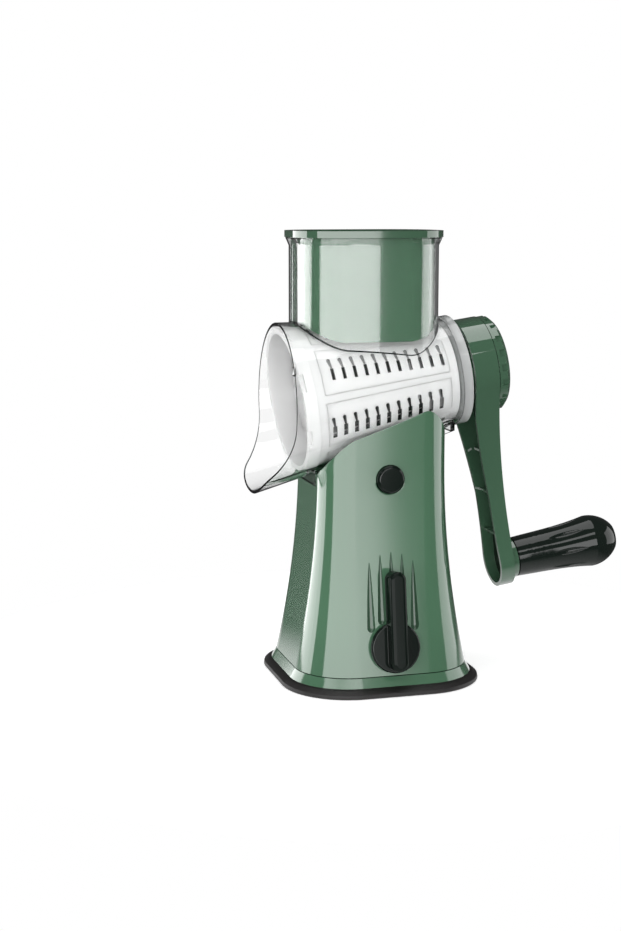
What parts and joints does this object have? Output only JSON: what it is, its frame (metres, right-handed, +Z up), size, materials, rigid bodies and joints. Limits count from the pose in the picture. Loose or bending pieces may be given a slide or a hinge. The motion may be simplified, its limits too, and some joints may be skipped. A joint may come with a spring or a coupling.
{
  "type": "rotary vegetable shredder",
  "caption": "Hand cranked drum shredder on a suction base, with a clear hopper and spout, a slotted drum and a food pusher.",
  "frame": {"origin": "centre of the foot, on the table", "axes": "+Z up, +X towards the crank, -Y towards the release button and the suction lever"},
  "size_m": [0.2543, 0.1346, 0.29],
  "materials": {
    "green_body": "gloss",
    "black_plastic": "gloss",
    "clear_plastic": "clear gloss",
    "white_plastic": "satin",
    "rubber": "matte",
    "steel": "brushed",
    "brass": "turned"
  },
  "bodies": {
    "base": {"base_shell": "green_body", "bottom_cover": "green_body", "base_screws": "steel", "foot_gasket": "rubber", "feed_housing": "clear_plastic", "bearing_bush": "white_plastic"},
    "rotor": {"drum_frame": "white_plastic", "blade_panel_1": "white_plastic", "blade_panel_2": "white_plastic", "blade_panel_3": "white_plastic", "blade_panel_4": "white_plastic", "blade_panel_5": "white_plastic", "blade_panel_6": "white_plastic", "blade_panel_7": "white_plastic", "blade_panel_8": "white_plastic", "drum_nut": "brass", "crank_arm": "green_body", "crank_knob": "green_body", "knob_seal": "white_plastic", "clamp_bolt": "steel", "grip_axle": "steel", "grip_washer": "steel"},
    "grip": {"crank_grip": "black_plastic", "grip_end_cap": "black_plastic"},
    "pusher": {"food_pusher": "green_body"},
    "button": {"release_button": "black_plastic", "release_latch": "black_plastic", "release_spring": "steel"},
    "lever": {"suction_lever": "black_plastic", "cam_shaft": "steel", "shaft_clip": "steel"},
    "cup": {"suction_cup": "rubber", "suction_plunger": "white_plastic"}
  },
  "joints": [
    {"name": "drum_spin", "type": "hinge", "parent": "base", "child": "rotor", "pos_m": [0, 0, 0.1907], "axis": [0.989, 0, 0.1478], "continuous": true},
    {"name": "grip_spin", "type": "hinge", "parent": "rotor", "child": "grip", "pos_m": [0.12852, 0, 0.07493], "axis": [0.989, 0, 0.1478], "continuous": true},
    {"name": "pusher_slide", "type": "slide", "parent": "base", "child": "pusher", "axis": [0, 0, 1], "range_m": [0, 0.06]},
    {"name": "button_press", "type": "slide", "parent": "base", "child": "button", "axis": [0, 1, 0], "range_m": [0, 0.0032], "stiffness_N_per_m": 800, "springref_m": -0.002, "deforming": ["release_spring"]},
    {"name": "lever_turn", "type": "hinge", "parent": "base", "child": "lever", "pos_m": [0, -0.0533, 0.0293], "axis": [0, 0.9903, -0.1392], "range_deg": [0, 90]},
    {"name": "cup_lift", "type": "slide", "parent": "base", "child": "cup", "axis": [0, 0, 1], "range_m": [0, 0.003]}
  ],
  "couplings": [
    {"joint": "lever_turn", "follows": "cup_lift", "rad_per_m": 523.6}
  ]
}
